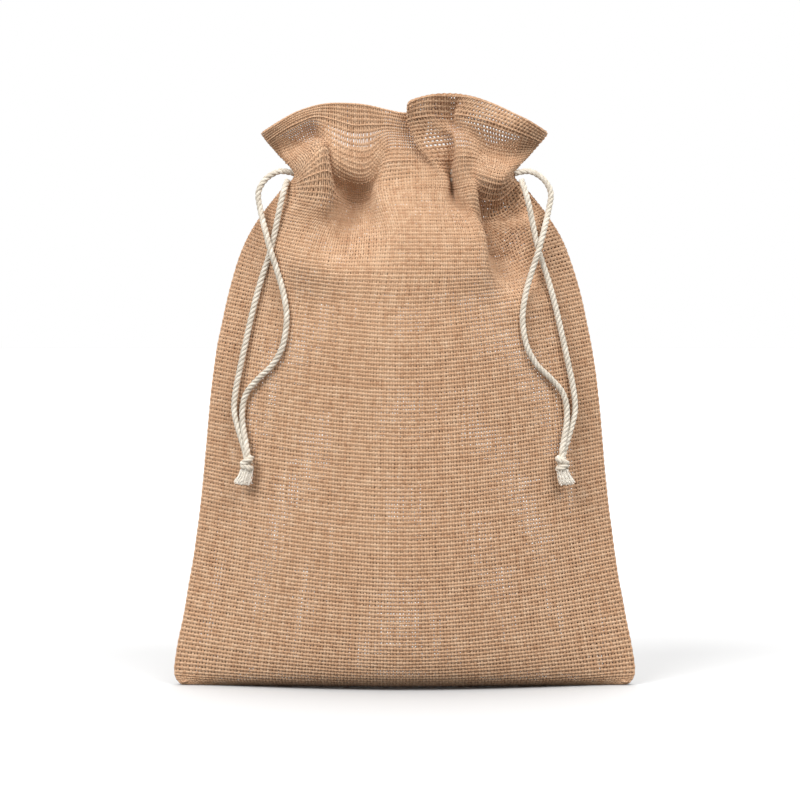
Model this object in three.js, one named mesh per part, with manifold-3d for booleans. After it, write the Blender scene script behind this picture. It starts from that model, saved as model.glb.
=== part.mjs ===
// A drawstring gift pouch of open-weave jute, standing filled and drawn shut at the neck.
//
// Frame: millimetres, +Z up, the pouch's front faces -Y. The origin is the middle of the base, on the
// surface that the pouch stands on.
//
// The pouch is two jute panels sewn together down both sides and along the bottom, with the seam
// allowances turned in. A narrow casing is sewn inside the neck, and two cotton cords run right round
// in it. Each cord leaves at its own side seam as two strands, which one overhand knot ties together.
// A panel is a lower and an upper solid, so that collision follows its curve closely, and the front's
// upper middle is a third one, because it leans forward as the mouth is opened.
import * as THREE from "three";
import { mergeVertices } from "three/addons/utils/BufferGeometryUtils.js";
import Module from "manifold-3d";

// ---------------------------------------------------------------- driving dimensions
const CLOTH = 1.6; // thickness of the jute, with the nap
const GAP = 0.3; // clearance between pieces that touch
const CORD = 3.2; // diameter of the cotton cord
const CORD_SIDES = 8;
const SEAM = 1.8; // thickness of the two overlocked allowances
const ALLOWANCE = 11; // width of a seam allowance
const THREAD = 0.7; // height of a row of stitches above the cloth

// The panel's middle line, from the bottom seam to the top hem, as [depth in front of the seams, height].
const CENTRE_LINE = [
  [0, 0], [10, 0], [25, 5], [32, 20], [36, 50], [38, 95], [37, 140],
  [33, 185], [27, 222], [20, 250], [15, 273], [17, 291], [22, 312],
];
// The side seam, point for point beside the middle line, as [half width, height].
const SIDE_LINE = [
  [116, 0], [120, 1], [124, 4], [124, 16], [118, 48], [109.5, 94], [105.5, 140],
  [99.5, 185], [90, 222], [77, 250], [57.5, 273], [66, 283], [76, 292],
];
const NECK = 10 / 12; // where the casing lies along both lines, from 0 at the bottom to 1 at the top
const SHOULDER = 8 / 12; // where the pleats start
const PLEAT_WAVES = 4; // pleats across a panel
const NECK_PLEAT = 1.5; // depth of a pleat at the neck and at the top hem
const TOP_PLEAT = 4;

// Cloth pieces share one grid of columns and rows, so that those sewn together nest. The rows are
// closer together at the casing, from row 11 to row 16, and at the hem's stitches, rows 19 and 20.
const COLUMNS = 32;
const ROWS = [
  0, 0.03, 0.07, 0.12, 0.2, 0.32, 0.45, 0.57, 0.66, 0.73, 0.78,
  0.807, 0.811, NECK, 0.859, 0.863, 0.867, 0.9, 0.93, 0.953, 0.957, 0.98, 1,
];
const LAST_ROW = ROWS.length - 1;
const CASING_ROWS = [11, 16];
const LOWER_STITCH_ROWS = [11, 12];
const UPPER_STITCH_ROWS = [15, 16];
const HEM_STITCH_ROWS = [19, 20];
const CASING_COLUMNS = [8, 24];
const HEM_STITCH_COLUMNS = [10, 22];

// The part of the front that leans forward when the mouth is opened.
const FLAP_HALF = 42;
const FLAP_FOOT = 236;

const WAIST = 150; // height at which each panel's lower and upper parts meet
const BEYOND = 400; // past the pouch on every side

// ---------------------------------------------------------------- materials
const JUTE = { color: 0xc69a78, roughness: 0.95, metalness: 0 };
const JUTE_INSIDE = { color: 0xb88a66, roughness: 0.95, metalness: 0 };
const COTTON = { color: 0xe9e2d6, roughness: 0.9, metalness: 0 };
const SEWING_THREAD = { color: 0xc9a67f, roughness: 0.8, metalness: 0 };

// ---------------------------------------------------------------- the cloth's surface
const lineOf = (points) =>
  new THREE.CatmullRomCurve3(points.map(([out, up]) => new THREE.Vector3(out, 0, up)));
const centreLine = lineOf(CENTRE_LINE);
const sideLine = lineOf(SIDE_LINE);
const { smoothstep, lerp, clamp } = THREE.MathUtils;

// How flat the lips of the section are: a lens in the body, an oval at the neck.
const LENS = 1.2;
const OVAL = 0.5;
const lipPower = (t) =>
  lerp(LENS, OVAL, smoothstep(t, SHOULDER, NECK)) + OVAL * smoothstep(t, NECK, 1);

const pleatDepth = (t) =>
  NECK_PLEAT * smoothstep(t, SHOULDER, NECK) + (TOP_PLEAT - NECK_PLEAT) * smoothstep(t, NECK, 1);

// A point on the front's outer face: u runs from -1 at the left seam to 1 at the right seam, and t
// from 0 at the bottom to 1 at the top.
function onFace(u, t) {
  const across = Math.sin((Math.PI / 2) * clamp(u, -1, 1));
  const inside = Math.max(1 - across * across, 0);
  const centre = centreLine.getPoint(clamp(t, 0, 1));
  const side = sideLine.getPoint(clamp(t, 0, 1));
  const crown = 1 - smoothstep(Math.abs(across), 0.5, 1);
  const pleat = pleatDepth(t) * Math.cos(PLEAT_WAVES * Math.PI * across) * inside;
  const depth = Math.max(centre.x, 0) * inside ** lipPower(t) + pleat;
  return new THREE.Vector3(
    side.x * across,
    -(SEAM / 2 + GAP + CLOTH + depth),
    Math.max(lerp(side.z, centre.z, crown), 0),
  );
}

// The same point, moved inwards along the face's normal.
function inCloth(u, t, inwards) {
  const STEP = 0.01;
  const along = (a, b) => onFace(...b).sub(onFace(...a));
  const acrossFace = along([u - STEP, t], [u + STEP, t]);
  const upFace = along([u, t - STEP], [u, t + STEP]);
  const point = onFace(u, t).addScaledVector(upFace.cross(acrossFace).normalize(), inwards);
  point.y = Math.min(point.y, -SEAM / 2 - GAP);
  return point;
}

// How far forward the front's outer face is at a place seen from the front.
function faceAt(x, z) {
  let [low, high] = [0, 1];
  let point = null;
  while (high - low > 1e-4) {
    const t = (low + high) / 2;
    const across = clamp(x / sideLine.getPoint(t).x, -1, 1);
    point = onFace(Math.asin(across) / (Math.PI / 2), t);
    if (point.z < z) low = t;
    else high = t;
  }
  return point.y;
}

// A slab of cloth on the grid's columns and rows. Its first face lies `from` inside the outer face.
function cloth({ columns = [0, COLUMNS], rows = [0, LAST_ROW], from = 0, thick = CLOTH }) {
  const [wide, high] = [columns[1] - columns[0], rows[1] - rows[0]];
  const slab = new THREE.BoxGeometry(wide, 1, high, wide, 1, high);
  slab.translate(wide / 2 + columns[0], 0.5, high / 2 + rows[0]);
  const place = slab.getAttribute("position");
  for (let i = 0; i < place.count; i++) {
    const u = (2 * Math.round(place.getX(i))) / COLUMNS - 1;
    const t = ROWS[Math.round(place.getZ(i))];
    const point = inCloth(u, t, from + thick * place.getY(i));
    place.setXYZ(i, point.x, point.y, point.z);
  }
  return slab;
}

// ---------------------------------------------------------------- cuts with manifold-3d
const wasm = await Module();
wasm.setup();

function solidOf(geometry) {
  const bare = geometry.clone().deleteAttribute("normal").deleteAttribute("uv");
  const merged = mergeVertices(bare, 1e-3);
  return new wasm.Manifold(
    new wasm.Mesh({
      numProp: 3,
      vertProperties: new Float32Array(merged.attributes.position.array),
      triVerts: new Uint32Array(merged.index.array),
    }),
  );
}

function geometryOf(solid) {
  const mesh = solid.getMesh();
  return new THREE.BufferGeometry()
    .setAttribute("position", new THREE.BufferAttribute(mesh.vertProperties, 3))
    .setIndex(new THREE.BufferAttribute(mesh.triVerts, 1));
}

// A block of space in front of the side seams, between two heights, to cut a panel with.
function space(half, foot, top) {
  const depth = 120;
  const block = new THREE.BoxGeometry(2 * half, depth, top - foot);
  return solidOf(block.translate(0, -depth / 2, (foot + top) / 2));
}

// ---------------------------------------------------------------- the assembly
const pouch = new THREE.Group();
function add(name, geometry, look, turned = false) {
  const mesh = new THREE.Mesh(geometry, new THREE.MeshStandardMaterial(look));
  mesh.name = name;
  mesh.rotation.z = turned ? Math.PI : 0;
  pouch.add(mesh);
}

// The two panels, each in a lower and an upper part. The back one is the front one turned round.
const wholePanel = solidOf(cloth({}));
const lowerPart = wholePanel.intersect(space(BEYOND, -BEYOND, WAIST - GAP / 2));
const upperPart = wholePanel.intersect(space(BEYOND, WAIST + GAP / 2, BEYOND));
const flap = upperPart.intersect(space(FLAP_HALF - GAP, FLAP_FOOT + GAP, BEYOND));
const shoulders = upperPart.subtract(space(FLAP_HALF, FLAP_FOOT, BEYOND));
add("back_panel_lower", geometryOf(lowerPart), JUTE, true);
add("back_panel_upper", geometryOf(upperPart), JUTE, true);
add("front_panel_lower", geometryOf(lowerPart), JUTE);
add("front_panel_upper", geometryOf(shoulders), JUTE);
add("front_mouth", geometryOf(flap), JUTE);

// The casing is a strip sewn inside each panel at the neck, with room for a cord behind the panel.
const CORD_DEPTH = CLOTH + GAP + CORD / 2;
const CASING_DEPTH = CLOTH + CORD + 2 * GAP;
const casing = cloth({ columns: CASING_COLUMNS, rows: CASING_ROWS, from: CASING_DEPTH });
add("front_casing", casing, JUTE_INSIDE);
add("back_casing", casing, JUTE_INSIDE, true);

// Rows of sewing thread: one along each edge of the casing, and one that holds the hem down.
for (const [row, columns, rows, from] of [
  ["casing_lower_thread", CASING_COLUMNS, LOWER_STITCH_ROWS, CASING_DEPTH + CLOTH + GAP],
  ["casing_upper_thread", CASING_COLUMNS, UPPER_STITCH_ROWS, CASING_DEPTH + CLOTH + GAP],
  ["hem_thread", HEM_STITCH_COLUMNS, HEM_STITCH_ROWS, CLOTH + GAP],
]) {
  const stitches = cloth({ columns, rows, from, thick: THREAD });
  add("front_" + row, stitches, SEWING_THREAD);
  add("back_" + row, stitches, SEWING_THREAD, true);
}

// The side seams are the overlocked allowances, turned in between the panels below the casing.
function sideSeam() {
  const [foot, top] = [0.17, 0.74];
  const EDGE_INSET = 1.2;
  const slab = new THREE.BoxGeometry(1, 1, 1, 1, 1, 14).translate(0.5, 0.5, 0.5);
  const place = slab.getAttribute("position");
  for (let i = 0; i < place.count; i++) {
    const t = lerp(foot, top, place.getZ(i));
    const at = sideLine.getPoint(t);
    const run = sideLine.getTangent(t);
    const inset = EDGE_INSET + ALLOWANCE * (1 - place.getX(i));
    place.setXYZ(i, at.x - inset * run.z, SEAM * (place.getY(i) - 0.5), at.z + inset * run.x);
  }
  return slab;
}
add("right_side_seam", sideSeam(), JUTE_INSIDE);
add("left_side_seam", sideSeam(), JUTE_INSIDE, true);

const BOTTOM_SEAM_HALF = 106;
const bottomSeam = new THREE.BoxGeometry(2 * BOTTOM_SEAM_HALF, SEAM, ALLOWANCE);
add("bottom_seam", bottomSeam.translate(0, 0, CLOTH + GAP + ALLOWANCE / 2), JUTE_INSIDE);

// ---------------------------------------------------------------- cords
// The right-hand cord is the left-hand one mirrored, so routes are mirrored before a tube is made.
const mirrored = (points) => points.map((p) => new THREE.Vector3(-p.x, p.y, p.z));

function tube(points, steps) {
  const section = new THREE.Shape(
    Array.from({ length: CORD_SIDES }, (_, i) => {
      const angle = (2 * Math.PI * i) / CORD_SIDES;
      return new THREE.Vector2((CORD / 2) * Math.cos(angle), (CORD / 2) * Math.sin(angle));
    }),
  );
  const route = new THREE.CatmullRomCurve3(points, false, "centripetal");
  return new THREE.ExtrudeGeometry(section, { steps, bevelEnabled: false, extrudePath: route });
}

// The two cords lie one above the other in the casing. Each goes once round, in three pieces: along
// the leaning part of the front, from there to its own exit, and round the back. Ends are given as u.
const FLAP_RUN_END = 0.49;
const BESIDE_FLAP = 0.53;
const EXIT = 0.9;
const LEVEL = 0.0085;
const inCasing = (from, to, t, count) =>
  Array.from({ length: count }, (_, i) => inCloth(lerp(from, to, i / (count - 1)), t, CORD_DEPTH));
const toBack = (p) => new THREE.Vector3(-p.x, -p.y, p.z);

for (const [side, turn, level] of [
  ["left", (points) => points, LEVEL],
  ["right", mirrored, -LEVEL],
]) {
  const t = NECK + level;
  const loop = [
    ...inCasing(BESIDE_FLAP, EXIT, t, 6),
    ...inCasing(-EXIT, EXIT, t, 24).map(toBack),
  ];
  const run = (name, points, steps) =>
    add(side + "_cord_" + name, tube(turn(points), steps), COTTON);
  run("flap_run", inCasing(-FLAP_RUN_END, FLAP_RUN_END, t, 14), 22);
  run("front_run", inCasing(-EXIT, -BESIDE_FLAP, t, 6), 5);
  run("back_run", loop, 42);
}

// The two strands outside the left side seam, from the exit to the knot: [x, height, lift of the
// strand's middle line off the cloth]. The outer one arcs round and crosses in front of the inner one.
const OUTER_STRAND = [
  [-61, 271.2, 1.5], [-66.5, 271.4, 2.2], [-73, 267.4, 3], [-76.8, 260.3, 4], [-75.6, 251, 5.5],
  [-72.8, 240, 7.6], [-70, 229.7, 7.6], [-66.5, 219, 4.5], [-63.1, 207, 3.4], [-61.5, 194.3, 3.2],
  [-63.6, 180.5, 3.2], [-68.9, 170.5, 3], [-76.3, 163.2, 3], [-82.3, 156.3, 3],
  [-84.8, 149, 3], [-85, 140.4, 3], [-83.8, 132, 3.4], [-82.6, 126.8, 4],
];
const INNER_STRAND = [
  [-61.5, 266.8, 3.6], [-63, 262, 4.8], [-65, 254, 4.6], [-68.4, 237.6, 3.6],
  [-71.4, 226, 3.4], [-75.8, 212.6, 3.2], [-80.3, 195.4, 3], [-84.9, 174.8, 3],
  [-88.6, 157, 3], [-89.4, 146, 3], [-88.6, 136.5, 3], [-86.8, 126.8, 4],
];
const KNOT_AT = [-83.6, 118.5];
const KNOT_LIFT = 7;

const lifted = ([x, z, lift]) => new THREE.Vector3(x, faceAt(x, z) - lift, z);

// The knot and the frayed tuft under it, as a turned shape: [radius, height above the knot's middle].
const KNOT_PROFILE = [
  [0, -12.5], [4.6, -12.2], [4.2, -8], [3.2, -6], [4.4, -4.6], [5.2, -1], [5, 3], [3.6, 6], [0, 6.8],
];
const KNOT_SIDES = 14;
function knot() {
  const profile = KNOT_PROFILE.map(([r, z]) => new THREE.Vector2(r, z));
  return new THREE.LatheGeometry(profile, KNOT_SIDES).rotateX(Math.PI / 2);
}

for (const [side, turn] of [
  ["left", (points) => points],
  ["right", mirrored],
]) {
  add(side + "_outer_strand", tube(turn(OUTER_STRAND.map(lifted)), 36), COTTON);
  add(side + "_inner_strand", tube(turn(INNER_STRAND.map(lifted)), 28), COTTON);
  const [middle] = turn([lifted([...KNOT_AT, KNOT_LIFT])]);
  add(side + "_knot", knot().translate(middle.x, middle.y, middle.z), COTTON);
}

export default pouch;
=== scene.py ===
# %% [markdown]
# # A drawstring gift pouch of open-weave jute
#
# The real pouch is two flat panels of coarse jute, sewn together down both sides and along the
# bottom, with two cords run round its neck. What makes it look like jute is its yarns: light passes
# between them, and each one bends over and under its neighbours. A smooth sheet with a woven
# pattern on it would be quicker, but it would have no gaps, and no ribs to catch the light. So a
# smooth surface is shaped first, only as a guide, and the yarns are then laid along it one by one.

import math

import bmesh
import bpy
import numpy as np
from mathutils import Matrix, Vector


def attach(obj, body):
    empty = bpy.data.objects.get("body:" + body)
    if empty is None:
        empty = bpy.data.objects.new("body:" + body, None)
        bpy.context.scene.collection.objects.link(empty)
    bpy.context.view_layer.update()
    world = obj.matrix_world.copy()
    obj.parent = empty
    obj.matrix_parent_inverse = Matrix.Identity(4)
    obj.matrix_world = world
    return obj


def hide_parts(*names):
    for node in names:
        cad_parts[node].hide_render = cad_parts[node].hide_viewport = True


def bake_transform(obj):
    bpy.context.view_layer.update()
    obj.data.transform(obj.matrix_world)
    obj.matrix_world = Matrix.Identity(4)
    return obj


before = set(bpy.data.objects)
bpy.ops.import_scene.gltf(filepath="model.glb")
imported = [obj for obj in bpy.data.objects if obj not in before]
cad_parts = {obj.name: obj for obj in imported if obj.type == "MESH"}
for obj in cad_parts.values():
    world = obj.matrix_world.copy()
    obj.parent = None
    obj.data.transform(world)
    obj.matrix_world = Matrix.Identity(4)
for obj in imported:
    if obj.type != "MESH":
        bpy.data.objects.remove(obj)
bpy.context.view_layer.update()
MM = 0.001
rng = np.random.default_rng(7)

# %% [markdown]
# ## The camera
# The pouch is looked at square on. A short lens from nearby would make its sides converge, so a
# long one looks from just under two metres away, and from a little above, where the floor shows.
# The sensor is made as wide as the lens needs to take in the chosen width at the pouch.

# %% The camera
FRAME_WIDTH = 422.4 * MM  # what the picture takes in, across, at the pouch
CAMERA_AWAY = 1.9
CAMERA_TILT = 2.5  # degrees by which it looks down
AIM = Vector((-2.4 * MM, 0, 151 * MM))

camera_data = bpy.data.cameras.new("camera")
camera_data.lens = 85
camera_data.sensor_width = camera_data.lens * FRAME_WIDTH / CAMERA_AWAY
camera = bpy.data.objects.new("camera", camera_data)
bpy.context.collection.objects.link(camera)
camera_rise = CAMERA_AWAY * math.tan(math.radians(CAMERA_TILT))
camera.location = AIM + Vector((0, -CAMERA_AWAY, camera_rise))
camera.rotation_euler = (AIM - camera.location).to_track_quat("-Z", "Y").to_euler()
bpy.context.scene.camera = camera
print("camera at", tuple(round(x, 3) for x in camera.location))

# %% [markdown]
# ## Light and booth
# A pouch like this is shown in a white booth, where light comes from all round and shadows are
# faint. Lamps close to the bag would light its nearest parts too much. A sun lamp lights everything
# evenly, and a wide angle makes its shadow soft, so three of them stand for the booth's panels: one
# in front on each side, and one above, a little behind. The world stands for the white walls.


# %% Colours and nodes
def colour(hex_code):
    """A hex sRGB colour as linear light, as Blender's shaders take it."""
    levels = [int(hex_code[i : i + 2], 16) / 255 for i in (1, 3, 5)]
    return (
        *(x / 12.92 if x <= 0.04045 else ((x + 0.055) / 1.055) ** 2.4 for x in levels),
        1.0,
    )


def add_node(tree, kind, values=None, **settings):
    """Adds a shader node, with its settings, and its sockets' values or links by name or number."""
    node = tree.nodes.new(kind)
    for key, value in settings.items():
        setattr(node, key, value)
    for key, value in (values or {}).items():
        if isinstance(value, bpy.types.NodeSocket):
            tree.links.new(value, node.inputs[key])
        else:
            node.inputs[key].default_value = value
    return node


print("a half-bright grey is", round(colour("#808080")[0], 3), "in linear light")


# %% Three wide lights
def wide_light(name, towards, strength, softness):
    """Light that comes evenly from one side of the booth; softness is its angle in degrees."""
    data = bpy.data.lights.new(name, "SUN")
    data.energy, data.angle = strength, math.radians(softness)
    light = bpy.data.objects.new(name, data)
    light.rotation_euler = Vector(towards).to_track_quat("-Z", "Y").to_euler()
    bpy.context.collection.objects.link(light)
    print(name, "of strength", strength)


wide_light("left_light", (0.5, 0.6, -0.66), 2.6, 32)
wide_light("right_light", (-0.42, 0.6, -0.7), 1.8, 32)
wide_light("top_light", (0, -0.3, -0.95), 2.4, 50)

# %% The booth's walls
AMBIENT = 0.52  # what the walls send to the bag; looked at, they are full white


def seen_or_sent(tree, seen, sent):
    """One value for the booth as it is looked at, and another for the light that it sends on."""
    looked_at = add_node(tree, "ShaderNodeLightPath").outputs["Is Camera Ray"]
    ends = {"Value": looked_at, "To Min": sent, "To Max": seen}
    return add_node(tree, "ShaderNodeMapRange", ends).outputs["Result"]


world = bpy.data.worlds.new("white_booth")
world.use_nodes = True
walls = world.node_tree.nodes["Background"]
walls.inputs["Color"].default_value = (1, 1, 1, 1)
world.node_tree.links.new(seen_or_sent(world.node_tree, 1.0, AMBIENT), walls.inputs["Strength"])
bpy.context.scene.world = world
bpy.context.scene.view_settings.view_transform = "Standard"
print("the walls send", AMBIENT, "of full white")

# %% The floor
FLOOR_REACH = 6  # metres from its middle to its edges
FLOOR_SEEN = 0.53  # under these lights it comes out just white, apart from the bag's shadow
FLOOR_SENT = 0.12  # a floor that sent more light up would light the bag's belly from below

bm = bmesh.new()
bmesh.ops.create_grid(bm, x_segments=1, y_segments=1, size=FLOOR_REACH)
floor_mesh = bpy.data.meshes.new("floor")
bm.to_mesh(floor_mesh)
bm.free()
floor = bpy.data.objects.new("floor", floor_mesh)
bpy.context.collection.objects.link(floor)

# Matt white board: it has no gloss, so nothing but a soft grey shadow shows on it.
board = bpy.data.materials.new("matt_white_board")
board.use_nodes = True
board_surface = board.node_tree.nodes["Principled BSDF"]
board_surface.inputs["Roughness"].default_value = 0.9
board_tone = seen_or_sent(board.node_tree, FLOOR_SEEN, FLOOR_SENT)
board.node_tree.links.new(board_tone, board_surface.inputs["Base Color"])
floor_mesh.materials.append(board)
print("floor:", 2 * FLOOR_REACH, "metres square")

# %% [markdown]
# ## Spun fibre
# Jute is a stiff, dry, honey-coloured fibre from a plant's bark. It is spun into loose single
# yarns, so a yarn is hairy and dull, and lighter or darker along its length. The cord is soft,
# undyed cotton, and the thread is spun too, so one function makes all three. A pattern laid over
# the whole bag would cut across its yarns. This one follows each yarn by the yarn's own UV map, so
# the fibres slant round it. Real ones are too fine to show, so they are drawn coarser.

# %% A material of spun fibre
BAND = math.pi / 10  # distance between the bands of a wave texture at a scale of 1
UV_UNIT = 10 * MM  # how much of a yarn's length is one unit of its UV map
FIBRE_SLANT = math.radians(30)
FIBRE_DISTORTION = 3.0  # the fibres are loose, so their bands are ragged
SLUB_LENGTH = 4 * MM  # how long a yarn's light and dark places are, about
SLUB_SHARE = 0.45  # how much of the tone comes from them,
FIBRE_GROOVE_SHADE_SHARE = 0.22  # and how much from the fibres, darker in their grooves, which is painted shade
BUMP_STRENGTH = 0.4
FUZZ = 0.15  # the sheen of short fibres that stand up all over
FUZZ_ROUGHNESS = 0.6


def add_on(tree, value, share, to):
    """A share of one value, added to another."""
    sockets = {0: value, 1: share, 2: to}
    return add_node(tree, "ShaderNodeMath", sockets, operation="MULTIPLY_ADD").outputs[0]


def yarn_material(name, shades, roughness, fibre_spacing, relief):
    """Dull spun fibre: a tone for each yarn, slubs along it, and slanting fibres with painted shade
    in their grooves; sizes in mm.
    """
    material = bpy.data.materials.new(name)
    material.use_nodes = True
    tree = material.node_tree
    surface = tree.nodes["Principled BSDF"]

    uv = add_node(tree, "ShaderNodeUVMap", uv_map="yarn").outputs["UV"]
    slanting = add_node(tree, "ShaderNodeMapping", {"Vector": uv, "Rotation": (0, 0, FIBRE_SLANT)})
    fibre_bands = {
        "Vector": slanting.outputs["Vector"],
        "Scale": BAND * UV_UNIT / (fibre_spacing * MM),
        "Distortion": FIBRE_DISTORTION,
        "Detail": 2.0,
    }
    fibres = add_node(tree, "ShaderNodeTexWave", fibre_bands).outputs["Fac"]

    place = add_node(tree, "ShaderNodeTexCoord").outputs["Object"]
    slub_cloud = {"Vector": place, "Scale": 1 / SLUB_LENGTH, "Detail": 2.0}
    slubs = add_node(tree, "ShaderNodeTexNoise", slub_cloud).outputs["Fac"]

    tone = add_node(tree, "ShaderNodeAttribute", attribute_name="tone").outputs["Fac"]
    with_slubs = add_on(tree, slubs, SLUB_SHARE, tone)
    # The fibre bands that raise the bump also colour its ridges lighter and its grooves darker:
    # painted shade.
    with_groove_shade = add_on(tree, fibres, FIBRE_GROOVE_SHADE_SHARE, with_slubs)
    ramp = add_node(tree, "ShaderNodeValToRGB", {"Fac": with_groove_shade})
    dark, light = ramp.color_ramp.elements
    dark.position, dark.color = 0.3, colour(shades[0])
    light.position, light.color = 1.0, colour(shades[2])
    ramp.color_ramp.elements.new(0.6).color = colour(shades[1])
    tree.links.new(ramp.outputs["Color"], surface.inputs["Base Color"])

    ridges = {"Height": fibres, "Strength": BUMP_STRENGTH, "Distance": relief * MM}
    bump = add_node(tree, "ShaderNodeBump", ridges)
    tree.links.new(bump.outputs["Normal"], surface.inputs["Normal"])
    surface.inputs["Roughness"].default_value = roughness
    surface.inputs["Sheen Weight"].default_value = FUZZ
    surface.inputs["Sheen Roughness"].default_value = FUZZ_ROUGHNESS
    print("made", name)
    return material


# %% Jute, cotton and thread
# Natural jute, loosely spun: dry and dull, pale straw on its slubs, toffee brown where its tone is
# low, and painted shade of that brown in the grooves between its fibres.
JUTE_SHADES = ("#946440", "#C49B77", "#DDC0A2")
jute = yarn_material("jute_loose_spun_natural", JUTE_SHADES, 0.9, 1.57, 0.15)
# Undyed cotton, softly twisted: creamy white, with painted grey shade in the grooves between its
# fibres.
COTTON_SHADES = ("#AFA493", "#CFC5B5", "#F2EBDF")
cotton = yarn_material("cotton_soft_twisted_undyed", COTTON_SHADES, 0.85, 1.26, 0.1)
# Spun sewing thread, dyed straw: tight and fine, so it is a little smoother than the cloth.
THREAD_SHADES = ("#A87C54", "#C89E7A", "#DDBB98")
thread = yarn_material("spun_thread_straw", THREAD_SHADES, 0.7, 1.05, 0.05)

# %% [markdown]
# ## Lines and tubes
# Everything on this pouch is thin and follows a line: a yarn, a thread, or one ply of a cord. A
# Blender curve with a round bevel could make each of them, but hundreds of curves are slow and
# can't carry a tone for each yarn. So a smooth line is drawn through a few points, rings are set
# round it, and quads join the rings. Two normals are carried along the line from ring to ring,
# because normals worked out afresh at each point would twist the tube wherever it bends.


# %% A smooth line
def unit(vectors):
    """Each vector, at a length of one."""
    return vectors / np.maximum(np.linalg.norm(vectors, axis=-1, keepdims=True), 1e-12)


def spline(a, b, c, d, t):
    """The smooth curve from b to c, as t goes from 0 to 1; a is the point before and d after."""
    return 0.5 * (
        2 * b + (c - a) * t + (2 * a - 5 * b + 4 * c - d) * t**2 + (3 * b - a - 3 * c + d) * t**3
    )


def distance_along(line):
    """How far along a line each of its points is."""
    return np.concatenate([[0], np.cumsum(np.linalg.norm(np.diff(line, axis=0), axis=1))])


def smooth_line(points, step):
    """Points about a step apart on a smooth curve through the given ones, and its length."""
    p = np.asarray(points, float)
    ends = np.vstack([2 * p[0] - p[1], p, 2 * p[-1] - p[-2]])
    line = []
    for a, b, c, d in zip(ends, ends[1:], ends[2:], ends[3:]):
        n = max(int(np.linalg.norm(c - b) / step * 2), 2)
        line.append(spline(a, b, c, d, np.linspace(0, 1, n, endpoint=False)[:, None]))
    line = np.vstack([*line, p[-1:]])
    run = distance_along(line)
    at = np.linspace(0, run[-1], max(int(round(run[-1] / step)), 2) + 1)
    return np.stack([np.interp(at, run, line[:, k]) for k in range(3)], axis=1), run[-1]


corner = [(0, 0, 0), (10, 0, 0), (10, 10, 0)]
print("a smooth line through a 10 by 10 mm corner is", round(smooth_line(corner, 1)[1], 1), "mm")

# %% Tubes
ASIDE = (0, 1, 0.3)  # a direction that no line here starts in


def carried_normals(line):
    """Two normals at each point of a line, carried along it without spinning."""
    tangent = unit(np.gradient(line, axis=0))
    normals = [unit(np.cross(tangent[0], ASIDE))]
    for t in tangent[1:]:
        normals.append(unit(normals[-1] - t * np.dot(normals[-1], t)))
    normals = np.array(normals)
    return normals, np.cross(tangent, normals)


def tubes(lines, radius, sides, tones):
    """Closed tubes along lines, as arrays: vertices, quads, end caps, UV and tone."""
    vertices, quads, caps, uvs, shade, first = [], [], [], [], [], 0
    around = np.linspace(0, 2 * math.pi, sides, endpoint=False)
    for line, tone in zip(lines, tones):
        n, b = carried_normals(line)
        ring = n[:, None] * np.cos(around)[:, None] + b[:, None] * np.sin(around)[:, None]
        vertices.append((line[:, None] + radius * ring).reshape(-1, 3))
        index = first + np.arange(len(line) * sides).reshape(len(line), sides)
        turned = np.roll(index, -1, axis=1)
        faces = np.stack([index[:-1], turned[:-1], turned[1:], index[1:]], axis=-1)
        quads.append(faces.reshape(-1, 4))
        caps += [index[0][::-1], index[-1]]
        uv = np.empty((len(line), sides, 2))
        uv[..., 0] = np.arange(sides) / sides
        uv[..., 1] = (distance_along(line) / UV_UNIT)[:, None]
        uvs.append(uv.reshape(-1, 2))
        shade.append(np.full(len(line) * sides, tone))
        first += len(line) * sides
    return np.vstack(vertices), np.vstack(quads), caps, np.vstack(uvs), np.concatenate(shade)


def fibre_object(name, parts, material):
    """An object from arrays of tubes: round and smooth along its sides, flat at its cut ends."""
    vertices, quads, caps, uv, tone = parts
    mesh = bpy.data.meshes.new(name)
    mesh.from_pydata(vertices.tolist(), [], quads.tolist() + [list(map(int, c)) for c in caps])
    corner = np.empty(len(mesh.loops), np.int32)
    mesh.loops.foreach_get("vertex_index", corner)
    mesh.uv_layers.new(name="yarn").data.foreach_set("uv", uv[corner].astype(np.float32).ravel())
    tone_of = mesh.attributes.new("tone", "FLOAT", "POINT")
    tone_of.data.foreach_set("value", tone.astype(np.float32))
    flat_ends = np.arange(len(mesh.polygons)) >= len(quads)
    mesh.attributes.new("sharp_face", "BOOLEAN", "FACE").data.foreach_set("value", flat_ends)
    mesh.materials.append(material)
    made = bpy.data.objects.new(name, mesh)
    bpy.context.collection.objects.link(made)
    return made


sample = tubes([np.array([(0, 0, 0), (1, 0, 0), (2, 0, 0)], float)], 0.1, 8, [0.5])
print("a tube of three rings has", len(sample[1]), "quads and", len(sample[2]), "ends")

# %% [markdown]
# ## Rope
# Each cord runs once round the neck inside the casing and comes out at its own side seam as two
# strands, tied together in one overhand knot. What makes it a rope is its three twisted plies. One
# tube with a twist in its material would have a smooth outline, so each ply is a tube of its own,
# wound round one route.

# %% Rope
CORD = 3.2 * MM
PLIES = 3
PLY_SIDES = 8
PLY_RADIUS = CORD * 0.27
PLY_ORBIT = CORD * 0.25  # from the middle of the cord to the middle of a ply
PLY_TONES = (0.2, 0.35)
ROPE_TWIST = 8.5 * MM  # length of one turn of the plies
ROPE_STEP = 0.9 * MM


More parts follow.
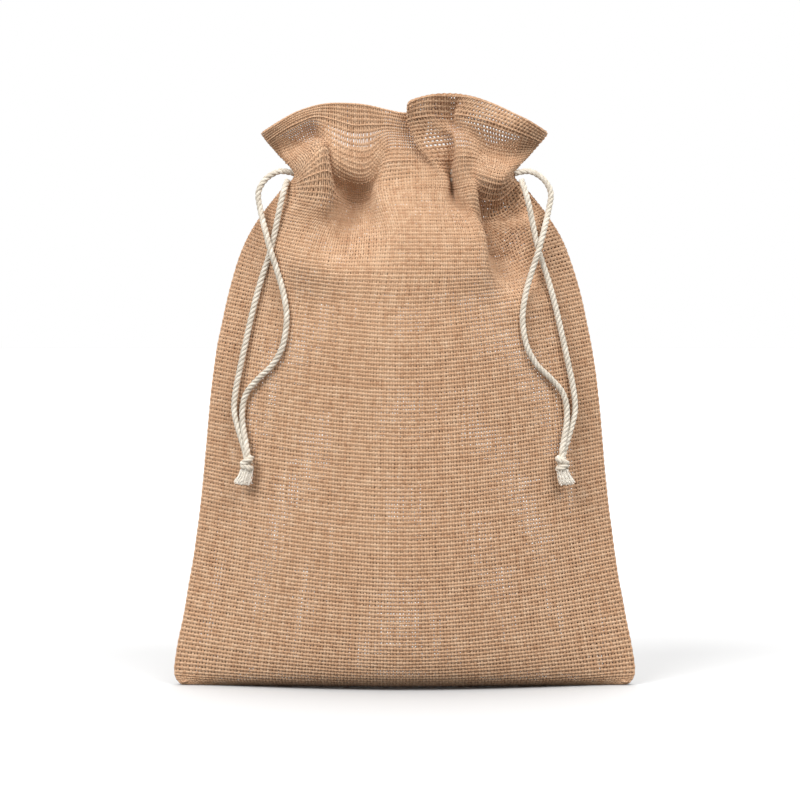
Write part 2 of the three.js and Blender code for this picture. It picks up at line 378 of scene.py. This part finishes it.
def rope(name, points, step=ROPE_STEP):
    """Three plies twisted round a route, with the route's line and length."""
    line, length = smooth_line(points, step)
    n, b = carried_normals(line)
    turn = np.linspace(0, length, len(line)) / ROPE_TWIST * 2 * math.pi
    plies = []
    for k in range(PLIES):
        a = (turn + 2 * math.pi * k / PLIES)[:, None]
        plies.append(line + PLY_ORBIT * (n * np.cos(a) + b * np.sin(a)))
    parts = tubes(plies, PLY_RADIUS, PLY_SIDES, rng.uniform(*PLY_TONES, PLIES))
    piece = fibre_object(name, parts, cotton)
    print(name, round(length / MM), "mm")
    return piece, line, length


print("cord:", PLIES, "plies,", round(2 * (PLY_ORBIT + PLY_RADIUS) / MM, 2), "mm across them")

# %% [markdown]
# ## The shape of the cloth
# Cloth hardly stretches, so a panel that is drawn in at the neck keeps its width, and what doesn't
# show has gone into folds. A cloth simulation could make the folds, but it would put them where it
# likes, and this pouch has its own. So each panel is described as a net of points, one row for each
# height, and the rows near the neck run in and out of the folds. A smooth surface through the net
# is the sheet. Below the neck it is a cushion shape, worked out from the side seam's outline.

# %% The filled part
COLUMNS = 17
SEAM_HALF = 2.2  # from the plane of the side seams to the middle of each panel's cloth, in mm
LIP = 1.2  # how flat a panel lies beside the seams
SAG = 1.7  # how suddenly a row of the weave rises to the seams

# The side seam's outline: [height, half width], in mm.
SIDE_LINE = [
    (0.9, 117), (1.4, 120.5), (3.5, 122.6), (8, 122.4), (24, 120.3), (45, 116), (66, 112.2),
    (98, 107.8), (130, 104.8), (162, 102.3), (183, 98.2), (204, 94.2), (225, 88), (235, 84),
]
# Rows below the folds: [height at the middle, how much higher at the sides, depth of the belly].
# The belly takes cloth down with it, so a row of the weave hangs lower in the middle.
BODY_ROWS = [
    (0.9, 0, 0), (0.9, 0.4, 10), (4, 3, 24), (13, 8, 31), (34, 11, 35), (65, 12, 37.5),
    (97, 12, 38), (129, 11, 37.7), (160, 12, 37), (181, 12, 36), (200, 12, 34),
]


def body_row(height, lift, belly):
    """One row of the smooth, filled part: a lens that is flat beside the seams."""
    u = np.linspace(-1, 1, COLUMNS)
    half_width = np.interp(height + lift, *zip(*SIDE_LINE))
    depth = belly * (1 - u**2) ** LIP
    return np.stack([half_width * u, -SEAM_HALF - depth, height + lift * np.abs(u) ** SAG], axis=1)


body_net = [body_row(*row) for row in BODY_ROWS]
print("filled part:", len(body_net), "rows of", COLUMNS)

# %% [markdown]
# ## The gathered neck
# In front, the cords have pulled the cloth into folds that are all different: a lobe and a hollow
# on the left, a bulge, an overlap with a narrow ridge, and a hollow and a lobe on the right. No
# formula gives those, so every point of their rows is given one by one. Behind, the neck is
# gathered into even pleats, which a wave describes.

# %% The front's folds
# Rows from the shoulder to the top hem: [across, depth, height] for each column, in mm.
FRONT_FOLDS = [
    [(-84.8, 0, 233), (-77, 5, 230), (-66.5, 13, 227), (-55.5, 21, 224.5), (-44, 25, 223),
     (-32, 26, 222), (-20, 28, 222), (-9, 30, 222), (2, 31, 222), (13, 31, 222), (24, 30, 222),
     (34, 28, 222), (43, 25, 222), (47, 9, 220), (55.5, 4, 222), (68.5, 8, 228), (84.8, 0, 233)],
    [(-75.9, 0, 248), (-70, 5, 246), (-60.5, 12, 243.5), (-50, 17, 241.5), (-40, 15, 239),
     (-30, 8, 238), (-19, 14, 239), (-8, 22, 240), (2, 25, 240), (13, 25, 240), (23, 24, 240),
     (33, 22, 240), (41, 20, 240), (42, 1, 233), (50.5, -5, 234), (63, 6, 243), (75.9, 0, 248)],
    [(-65.6, 0, 261), (-60.5, 6, 260), (-51, 17, 258.5), (-40, 17, 257), (-34, 4, 255),
     (-27, -3, 252), (-20, 0, 253), (-13, 11, 256), (0, 15, 257), (12, 15, 257), (21, 13, 257),
     (26, 5, 257), (31, 14, 257), (38, 12, 257), (39, -2, 248), (50.5, -4, 249), (65.6, 0, 261)],
    [(-58, 0, 270), (-56, 10, 270), (-49, 18, 278), (-41, 17, 284), (-38, 8, 266), (-27, -1, 261),
     (-18, 2, 262), (-14, 4, 266), (-1, 7, 268), (12, 8, 269), (21, 7, 269), (24.5, -2, 268),
     (29, 12, 269), (36, 9, 270), (42, 13, 268), (51, 12, 266), (58, 0, 270)],
    [(-67, 0, 281), (-64, 3, 281), (-55, 5, 284.5), (-46, 6, 289.5), (-38, 14, 278),
     (-28, 11, 272), (-19, 7, 272), (-10, 3, 283), (0, 4, 284), (10, 1, 283), (8, 7, 284),
     (24.5, 1, 286), (27.5, 9, 287), (36, 7, 286), (44, 3, 281), (55, 3, 279), (67, 0, 281)],
    [(-72, 2, 286.5), (-67, 7, 290), (-58, 11, 295), (-48, 11, 299), (-38, 9, 297), (-28, 7, 294),
     (-19, 5, 294), (-10, 2, 295), (-1, 2, 294), (10, 1, 294), (2, 8, 297), (13, 8, 299),
     (25, 1, 299), (28, 7, 300), (42, 10, 297), (57, 11, 292), (72, 2, 286.5)],
    [(-76, 4, 291.5), (-68, 10, 296), (-58, 12, 302), (-47, 11, 306), (-38, 8, 308),
     (-28, 6, 308), (-19, 4, 307), (-9, 2, 304.5), (1, 4, 302.5), (10, 3, 303), (1.5, 12, 307),
     (12, 12, 311.5), (25, 9, 312), (37, 11, 310.5), (50, 11, 306), (64, 12, 299), (76, 4, 291.5)],
]


def front_fold_row(row):
    """A row of the front's folds, as points."""
    x, depth, z = np.array(row, float).T
    return np.stack([x, -SEAM_HALF - depth, z], axis=1)


front_net = MM * np.array(body_net + [front_fold_row(row) for row in FRONT_FOLDS])
print("front net:", len(front_net), "rows, up to", round(front_net[..., 2].max() / MM, 1), "mm")

# %% The back's pleats
BACK_PLEATS = 4
BACK_LIP = 0.6  # how full the back's neck is beside the seams
ROLL_AHEAD = 0.6  # how far the pleats' roll runs ahead of their depth, in radians
# [height in the middle, height at the seams, half width, depth, depth of a pleat, its roll], in mm.
BACK_FOLDS = [
    (222, 233, 84.8, 28, 1.5, 0), (240, 248, 75.9, 24, 3, 1), (257, 261, 65.6, 19, 5, 2),
    (268, 270, 58, 14, 6, 3), (276, 281, 67, 21, 5, 3), (284, 291.5, 76, 30, 4, 1),
]


def back_fold_row(height, ends, half_width, depth, pleat, roll):
    """A row of even pleats, which roll over to one side and die away at the seams."""
    u = np.linspace(-1, 1, COLUMNS)
    wave = u * math.pi * BACK_PLEATS
    inside = 1 - u**2
    x = half_width * u + roll * np.sin(wave + ROLL_AHEAD) * inside
    y = -SEAM_HALF - depth * inside**BACK_LIP - pleat * np.cos(wave) * inside
    return np.stack([x, y, height + (ends - height) * np.abs(u) ** 3], axis=1)


back_net = MM * np.array(body_net + [back_fold_row(*row) for row in BACK_FOLDS])
back_net *= (-1, -1, 1)  # turned round, to stand behind
print("back net:", len(back_net), "rows, up to", round(back_net[..., 2].max() / MM, 1), "mm")

# %% [markdown]
# ## Yarns
# A cloth like this has twelve to fifteen yarns to the inch, so the number of yarns follows from the
# pitch and the panel's cut size. An array of one woven cell would repeat exactly and couldn't turn
# in at the edges. Here every crossing is a point of its own on the sheet. The hem is the top of the
# same cloth folded down inside, and the seam allowances are its edges folded in, which is why a bag
# looks darker there. Each yarn strays a little from its place, as a loose weave does.

# %% Reading the net
def through(points, at, axis):
    """A smooth curve through evenly numbered points along one axis, read at the places in at."""
    p = np.moveaxis(points, axis, 0)
    p = np.concatenate([2 * p[:1] - p[1:2], p, 2 * p[-1:] - p[-2:-1]])
    i = np.clip(np.floor(at).astype(int), 0, points.shape[axis] - 2)
    t = (at - i).reshape(-1, *[1] * (p.ndim - 1))
    return np.moveaxis(spline(p[i], p[i + 1], p[i + 2], p[i + 3], t), 0, axis)


front_height = through(front_net, np.linspace(0, len(front_net) - 1, 400), 0)[:, COLUMNS // 2]
print("front, over its middle:", round(distance_along(front_height)[-1] / MM), "mm of cloth")

# %% Where the yarns cross
WARP_PITCH = 1.74 * MM  # from one upright yarn to the next
WEFT_PITCH = 2.05 * MM  # from one level yarn to the next
CUT_WIDTH = 250 * MM  # finished width; the allowances are extra
ALLOWANCE = 12 * MM
HEM = 11 * MM
FOLDED_IN = 1.75 * MM  # from the middle of the cloth to the middle of a layer folded in behind it
FOLDED_GAP = 0.9 * MM  # nothing folded in comes nearer to the plane of the seams than this,
PANEL_GAP = 2.16 * MM  # and no panel nearer than this,
NECK_ROOM = 6 * MM  # but above the foot of the neck, a fold may reach this far past it
NECK_FOOT = 245 * MM
STRAY = {"front": 0.09 * MM, "back": 0.18 * MM}  # how far a yarn strays from its place
STRAY_WAVE = 7  # crossings from the middle of one wave of straying to its end
LEVELS = 40  # places at which the cloth's length is measured, for each row of the net
NEAR = 0.02  # how far to each side of a crossing its directions are read, in steps of the net


def wander(lines, crossings, stray):
    """How far each yarn strays from its place, in waves a few yarns long."""
    noise = rng.standard_normal((lines, crossings + 2 * STRAY_WAVE))
    window = np.hanning(2 * STRAY_WAVE + 1)
    noise = np.array([np.convolve(line, window, "valid") for line in noise])
    return stray * noise / noise.std()


def cloth_grid(net, facing, stray):
    """Where every yarn of a panel crosses another, the outward normal there, and which are seen."""
    level = np.linspace(0, len(net) - 1, LEVELS * len(net))
    length = np.linalg.norm(np.diff(through(net, level, 0), axis=0), axis=2).mean(axis=1)
    run = np.concatenate([[0], np.cumsum(length)])
    rows, columns = int(run[-1] / WEFT_PITCH), int(CUT_WIDTH / WARP_PITCH)
    extra_rows, extra_columns = int(HEM / WEFT_PITCH) + 1, int(ALLOWANCE / WARP_PITCH)
    v = np.arange(rows + extra_rows) + 0.5
    u = np.arange(-extra_columns, columns + extra_columns) + 0.5
    past_top = v > rows
    past_side = (u < 0) | (u > columns)

    # Cloth past an edge is folded back, so it follows the net back the way that it came.
    v_on = np.interp(np.where(past_top, 2 * rows - v, v) * run[-1] / rows, run, level)
    u_on = np.abs(u)
    u_on = np.where(u_on > columns, 2 * columns - u_on, u_on) / columns * (COLUMNS - 1)
    across = through(net, v_on, 0)
    points = through(across, u_on, 1)
    rise = through(net, v_on + NEAR, 0) - through(net, v_on - NEAR, 0)
    up = unit(through(rise, u_on, 1))
    side = unit(through(across, u_on + NEAR, 1) - through(across, u_on - NEAR, 1))
    normal = unit(np.cross(side, up))
    points += up * wander(*points.shape[:2], stray)[..., None]
    points += side * wander(*points.shape[1::-1], stray).T[..., None]

    folded = past_top[:, None] | past_side[None, :]
    points -= normal * FOLDED_IN * folded[..., None]
    middle = 1 - (2 * u_on / (COLUMNS - 1) - 1) ** 2
    room = NECK_ROOM * middle[None, :] * (points[..., 2] > NECK_FOOT)
    limit = np.where(folded, FOLDED_GAP, PANEL_GAP) - room
    points[..., 1] = facing * np.maximum(facing * points[..., 1], limit)
    return points, normal, (slice(rows), slice(extra_columns, extra_columns + columns))


print(round(25.4 * MM / WEFT_PITCH, 1), "by", round(25.4 * MM / WARP_PITCH, 1), "yarns to the inch")

# %% One set of yarns
WARP_HALF_WIDTH = 0.55 * MM
WEFT_HALF_WIDTH = 0.73 * MM
YARN_HALF_HEIGHT = 0.27 * MM  # a yarn in cloth is pressed flat
CRIMP = 0.33 * MM  # how far a yarn bends to each side of the cloth
YARN_SIDES = 4  # smooth shading makes so thin a yarn look round all the same
CROWDED = 0.38  # a yarn's half width is at most this share of the distance to its neighbours
SLUBS = 0.10  # how unevenly thick a yarn is along its length,
UNEVEN = 0.03  # and how much one yarn differs from another
THINNEST, THICKEST = 0.7, 1.35


def yarn_set(points, normals, half_width, tones, over):
    """Yarns laid along the rows of points: flattened tubes that bend over and under."""
    lines, crossings = points.shape[:2]
    p = points + normals * (CRIMP * over)[..., None]
    tangent = unit(np.gradient(p, axis=1))
    beside = unit(np.cross(tangent, normals))
    outward = np.cross(beside, tangent)
    around = np.linspace(0, 2 * math.pi, YARN_SIDES, endpoint=False)
    slub = 1 + SLUBS * rng.standard_normal((lines, crossings))
    slub += UNEVEN * rng.standard_normal((lines, 1))
    apart = np.linalg.norm(np.gradient(points, axis=0), axis=2)
    half = np.minimum(half_width * np.clip(slub, THINNEST, THICKEST), CROWDED * apart)
    section = (
        beside[:, :, None] * np.cos(around)[:, None] * half[..., None, None]
        + outward[:, :, None] * np.sin(around)[:, None] * YARN_HALF_HEIGHT
    )
    vertices = (p[:, :, None] + section).reshape(-1, 3)
    index = np.arange(lines * crossings * YARN_SIDES).reshape(lines, crossings, YARN_SIDES)
    turned = np.roll(index, -1, axis=2)
    quads = np.stack([index[:, :-1], index[:, 1:], turned[:, 1:], turned[:, :-1]], axis=-1)
    caps = [*index[:, 0], *index[:, -1][:, ::-1]]
    steps = np.linalg.norm(np.diff(p, axis=1, prepend=p[:, :1]), axis=2)
    uv = np.empty((lines, crossings, YARN_SIDES, 2))
    uv[..., 0] = np.arange(YARN_SIDES) / YARN_SIDES
    uv[..., 1] = (np.cumsum(steps, axis=1) / UV_UNIT)[..., None]
    tone = np.broadcast_to(tones[:, None, None], (lines, crossings, YARN_SIDES))
    return vertices, quads.reshape(-1, 4), caps, uv.reshape(-1, 2), tone.reshape(-1)


def joined(*parts):
    """Several sets of tubes as one."""
    first, quads, caps = 0, [], []
    for vertices, q, c, _, _ in parts:
        quads.append(q + first)
        caps += [x + first for x in c]
        first += len(vertices)
    vertices, _, _, uvs, tones = zip(*parts)
    return np.vstack(vertices), np.vstack(quads), caps, np.vstack(uvs), np.concatenate(tones)


print("a yarn is up to", round(2 * WEFT_HALF_WIDTH * THICKEST / MM, 2), "mm wide")

# %% Plain weave
WARP_TONE = (0.28, 0.04)  # the middle and the spread of the yarns' tones
WEFT_TONE = (0.30, 0.025)
FULLER = {"front": 1.02, "back": 1.07}  # the back's yarns are a little fuller


def over_and_under(points):
    """Which yarn is on top at each crossing, in turn: 1 for the weft and -1 for the warp."""
    return (-1.0) ** np.add.outer(np.arange(points.shape[0]), np.arange(points.shape[1]))


def weave(name, points, normals, over, weft_tones, warp_tones, fuller=1.0, shared=0):
    """A piece of plain weave; the weft of the last shared rows belongs to the piece above."""
    rows = slice(len(points) - shared)
    weft = yarn_set(
        points[rows], normals[rows], fuller * WEFT_HALF_WIDTH, weft_tones[rows], over[rows]
    )
    warp = yarn_set(
        points.swapaxes(0, 1), normals.swapaxes(0, 1), fuller * WARP_HALF_WIDTH, warp_tones, -over.T
    )
    piece = fibre_object(name, joined(weft, warp), jute)
    print(name, "has", points.shape[1], "warp and", len(weft_tones[rows]), "weft yarns")
    return piece


def woven_panel(side, net, facing):
    """The lower, middle and upper cloth of a panel, with its seen crossings and their normals."""
    points, normals, seen = cloth_grid(net, facing, STRAY[side])
    over = over_and_under(points)
    warp_tones = rng.normal(*WARP_TONE, points.shape[1])
    weft_tones = rng.normal(*WEFT_TONE, points.shape[0])
    top = len(points) - 1
    cuts = (0, len(points) // 3, 2 * len(points) // 3, top)
    made = []
    for name, first, last in zip(("lower", "middle", "upper"), cuts, cuts[1:]):
        part = slice(first, last + 1)
        piece = weave(
            f"{side}_cloth_{name}", points[part], normals[part], over[part],
            weft_tones[part], warp_tones, fuller=FULLER[side], shared=int(last < top),
        )
        made.append(piece)
    return made, points[seen], normals[seen]


# %% [markdown]
# ## The two panels
# A panel of this many yarns is too heavy as one mesh, so each is three pieces that meet between two
# rows. The mouth can lean open. Cloth that turned there as a whole would tear away from the cloth
# below, so the front's upper piece is left in place, unattached, while the other pieces go with the
# bag.

# %% The two panels
(front_lower, front_middle, front_upper), *front_weave = woven_panel("front", front_net, -1)
(back_lower, back_middle, back_upper), *back_weave = woven_panel("back", back_net, 1)

for piece in (front_lower, front_middle, back_lower, back_middle, back_upper):
    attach(piece, "bag")
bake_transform(front_upper)
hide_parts("front_panel_lower")
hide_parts("front_panel_upper", "front_mouth")
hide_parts("back_panel_lower")
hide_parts("back_panel_upper")
print("front:", front_weave[0].shape[:2], "crossings seen; back:", back_weave[0].shape[:2])

# %% [markdown]
# ## Casing, the cords inside it and stitching
# The casing is a strip of the same jute, sewn across the inside of each panel along its two edges,
# and the cords run between strip and panel. They could be drawn as plain hoops, but the neck isn't
# one: both follow the panel row by row and fold by fold. So they are laid on the panel's own
# crossings, moved inwards. The stitches are too, a needle hole at every second yarn.

# %% Stitches
STITCH_OUT = 0.8 * MM  # how far a stitch stands off the middle of the cloth
THREAD_RADIUS = 0.22 * MM
THREAD_SIDES = 5
THREAD_TONE = 0.4


def stitches(name, line, out):
    """A line of lockstitches: thread on the cloth that dips into each needle hole."""
    dip = np.where(np.arange(len(line)) % 2, STITCH_OUT, 0)[:, None]
    parts = tubes([line + out * dip], THREAD_RADIUS, THREAD_SIDES, [THREAD_TONE])
    piece = fibre_object(name, parts, thread)
    print(name, "has", len(line) // 2, "stitches")
    return piece


def with_cloth(piece, side, *nodes):
    """Moves a piece just as the panel that it is sewn to."""
    if side == "front":
        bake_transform(piece)
    else:
        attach(piece, "bag")
    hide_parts(*nodes)


# %% Casings
CASING_LOW = 261 * MM  # the heights of its two edges, at the middle of the panel
CASING_HIGH = 275 * MM
STRIP_INSIDE = 4.5 * MM  # from the middle of the panel's cloth to the strip's, round the cords
STRIP_EDGE = 1.5 * MM  # and the same at the strip's two edges
CORD_INSIDE = 2.3 * MM  # from the middle of the panel's cloth to the middle of a cord behind it
GUIDE_EVERY = 4  # a cord follows every fourth crossing, because it is too thick to follow them all


def row_at(points, height):
    """The row of crossings that lies nearest to a height, in the middle third of a panel."""
    middle = points[:, points.shape[1] // 3 : -points.shape[1] // 3, 2].mean(axis=1)
    return int(np.argmin(np.abs(middle - height)))


def casing_strip(side, points, normals):
    """The strip of cloth behind the panel, which bulges inwards between its two sewn edges."""
    inside = np.full(len(points), STRIP_INSIDE)
    inside[[0, -1]] = STRIP_EDGE
    strip = points - normals * inside[:, None, None]
    weft_tones = np.full(strip.shape[0], WEFT_TONE[0])
    warp_tones = np.full(strip.shape[1], WARP_TONE[0])
    over = over_and_under(strip)
    piece = weave(f"{side}_casing_strip", strip, normals, over, weft_tones, warp_tones)
    with_cloth(piece, side, f"{side}_casing")


def casing(side, points, normals):
    """The strip, the panel's three rows of stitches, and the two cords behind the panel."""
    low, high = row_at(points, CASING_LOW), row_at(points, CASING_HIGH)
    casing_strip(side, points[low : high + 1], normals[low : high + 1])
    rows = {"casing_lower": low, "casing_upper": high, "hem": len(points) - int(HEM / WEFT_PITCH)}
    for which, row in rows.items():
        sewn = stitches(f"{side}_{which}_stitches", points[row], normals[row])
        with_cloth(sewn, side, f"{side}_{which}_thread")
    middle = (low + high) // 2
    runs = ("flap", "front") if side == "front" else ("back",)
    for which, row in (("left", middle + 1), ("right", middle - 1)):
        guide = points[row, ::GUIDE_EVERY] - normals[row, ::GUIDE_EVERY] * CORD_INSIDE
        inner, _, _ = rope(f"{which}_rope_in_{side}_casing", guide)
        with_cloth(inner, side, *(f"{which}_cord_{run}_run" for run in runs))


casing("front", *front_weave)
casing("back", *back_weave)

# %% Seams
SEAM_INSET = 1 * MM  # how far inside the edge the side seams' thread lies,
BOTTOM_INSET = 0.8 * MM  # and the bottom seam's
SEAM_ENDS = 5  # crossings left free at each end of a seam

front_points, back_points = front_weave[0], back_weave[0]
for name, front_edge, back_edge in (
    ("left_side_seam", front_points[:, 0], back_points[:, -1]),
    ("right_side_seam", front_points[:, -1], back_points[:, 0]),
    ("bottom_seam", front_points[0], back_points[0, ::-1]),
):
    n = min(len(front_edge), len(back_edge))  # the front has a few more rows than the back
    between = (front_edge[:n] + back_edge[:n]) / 2
    if name == "bottom_seam":
        inwards = (0, 0, BOTTOM_INSET)
    else:
        inwards = (-np.sign(between[0, 0]) * SEAM_INSET, 0, 0)
    sewn_line = (between + inwards)[SEAM_ENDS:-SEAM_ENDS]
    seam = stitches(name + "_stitches", sewn_line, np.array((0, 1, 0)))
    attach(seam, "bag")
    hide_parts(name)

# %% [markdown]
# ## The hanging strands
# The strands leave the neck almost level, arc over, and hang down in front of the bag, where they
# cross once. The knot's weight keeps their last part straight. A simulated rope would hang the same
# way, but its crossing would be a matter of luck, so the routes are listed.

# %% Routes of the left strands
# From the exit to the knot, in mm. The right strands are their mirror image.
OUTER = [
    (-58, -3.6, 270.4), (-61, -4.3, 271.2), (-66.5, -5, 271.4), (-73, -5.8, 267.4),
    (-76.8, -6.8, 260.3), (-75.6, -9.1, 251), (-72.8, -15.2, 240), (-70, -17.9, 229.7),
    (-66.5, -18.4, 219), (-63.1, -20.9, 207), (-61.5, -23.3, 194.3), (-63.6, -24.1, 180.5),
    (-68.9, -22.4, 170.5), (-76.3, -19.3, 163.2), (-82.3, -16.7, 156.3), (-84.8, -15.8, 149),
    (-85, -16.3, 140.4), (-83.6, -18.2, 132), (-82.4, -20.6, 125.5), (-82.2, -21.4, 120.5),
]
INNER = [
    (-61.5, -6.4, 266.8), (-63, -11.2, 262), (-65, -13.5, 254), (-68.4, -13.4, 237.6),
    (-71.4, -13.7, 226), (-75.8, -13.8, 212.6), (-80.3, -13.8, 195.4), (-84.9, -13.8, 174.8),
    (-88.6, -13.2, 157), (-89.4, -13.5, 146), (-87.2, -15.2, 136.5),
    (-83.9, -18.2, 126), (-82.6, -21.2, 120.5),
]
KNOT = np.array((-82.4, -21.9, 118.4)) * MM  # the middle of the left knot
print("routes:", len(OUTER), "and", len(INNER), "points")

# %% [markdown]
# ## Knots and tufts
# Each pair of strands ends in one overhand knot, and the cut ends below it are teased out into a
# tuft. A knot could be a lump with bumps, but rope that goes round rope reads as a knot at once:
# two tilted wraps round a short waist. The tuft is several hundred fine fibres that start from the
# knot and spread to one side, as a brush does.

# %% Knot and tuft
WRAP = (2.2, 1.9)  # half the width and half the depth of a wrap, in mm
WRAPS = ((0.45, 1.5, 0.4), (-0.5, -1.4, 2.6))  # [tilt, height in mm, start round it in radians]
WRAP_CLIMB = 1.5  # how far a wrap climbs in going round once, in mm
WRAP_POINTS = 22
WAIST = (0.3, 3.5, 8)  # [half width, top above the knot's middle, length], in mm
KNOT_STEP = 0.5 * MM
TUFT_FIBRES = 420
FIBRE_RADIUS = 0.16 * MM
FIBRE_SIDES = 4
FIBRE_POINTS = 8
TUFT_PAINTED_LIGHT_TONES = (0.8, 1.1)  # teased out, the cotton is given its lightest tones, lighter than the plies: painted light against the shade its fibres cast on one another
# The tuft's sizes are in mm.
TUFT_TOP = -2.6  # height of its top over the knot's middle
TUFT_ROOT = (1.2, 0.9)  # how widely the fibres start, across and in depth,
TUFT_SPREAD = (0.7, 0.5)  # and how much they spread from there
TUFT_LEAN = np.array((-2.6, -0.2))  # how far they all lean, outwards and to the front
TUFT_LENGTH = (6.6, 8.2)  # the shortest and the longest
FIBRE_CURL = 0.25
TUFT_FAN = 0.15  # the share of its start by which a fibre goes on outwards
TUFT_SLANT = 0.35  # the share of its spread outwards by which a fibre is shorter


def knot_ropes(name, middle, flip):
    """The two wraps of the knot, and the waist that they go round."""
    turn = np.linspace(0, 2 * math.pi, WRAP_POINTS)
    grow = turn / turn[-1]
    routes = []
    for tilt, height, start in WRAPS:
        a = turn + start
        x, y = WRAP[0] * np.cos(a), WRAP[1] * np.sin(a)
        routes.append(np.stack([x, y, height + WRAP_CLIMB * (grow - 0.5) + tilt * x], axis=1))
    half_width, top, length = WAIST
    x, y = half_width * np.cos(turn / 2), half_width * np.sin(turn / 2)
    routes.append(np.stack([x, y, top - length * grow], axis=1))
    return [
        rope(f"{name}_{i}", middle + route * MM * flip, step=KNOT_STEP)[0]
        for i, route in enumerate(routes)
    ]


def tuft(name, middle, flip):
    """Teased-out fibres below the knot."""
    fibres, t = [], np.linspace(0, 1, FIBRE_POINTS)[:, None]
    for _ in range(TUFT_FIBRES):
        root = rng.normal(0, 1, 2) * TUFT_ROOT
        spread = rng.normal(0, 1, 2) * TUFT_SPREAD + root * TUFT_FAN + TUFT_LEAN
        curl = rng.normal(0, FIBRE_CURL, (FIBRE_POINTS, 2)) * t
        drop = rng.uniform(*TUFT_LENGTH) + TUFT_SLANT * (spread[0] - TUFT_LEAN[0])
        route = np.hstack([root + spread * t**1.2 + curl, TUFT_TOP - drop * t])
        fibres.append(middle + route * MM * flip)
    tones = rng.uniform(*TUFT_PAINTED_LIGHT_TONES, TUFT_FIBRES)
    return fibre_object(name, tubes(fibres, FIBRE_RADIUS, FIBRE_SIDES, tones), cotton)


def knot_and_tuft(name, middle, flip):
    """A knot with its tuft, as one piece."""
    made = [*knot_ropes(name, middle, flip), tuft(name + "_fibres", middle, flip)]
    with bpy.context.temp_override(active_object=made[0], selected_editable_objects=made):
        bpy.ops.object.join()
    made[0].name = name
    print(name, "with", TUFT_FIBRES, "fibres")
    return made[0]


# %% Both pairs of strands
for side, mirror in (("left", 1), ("right", -1)):
    flip = (mirror, 1, 1)
    knot = knot_and_tuft(f"{side}_knot_and_tuft", KNOT * flip, flip)
    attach(knot, f"{side}_pull")
    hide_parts(f"{side}_knot")
    for which, route in (("outer", OUTER), ("inner", INNER)):
        strand, line, length = rope(f"{side}_{which}_rope", np.array(route) * MM * flip)
        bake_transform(strand)
        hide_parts(f"{side}_{which}_strand")
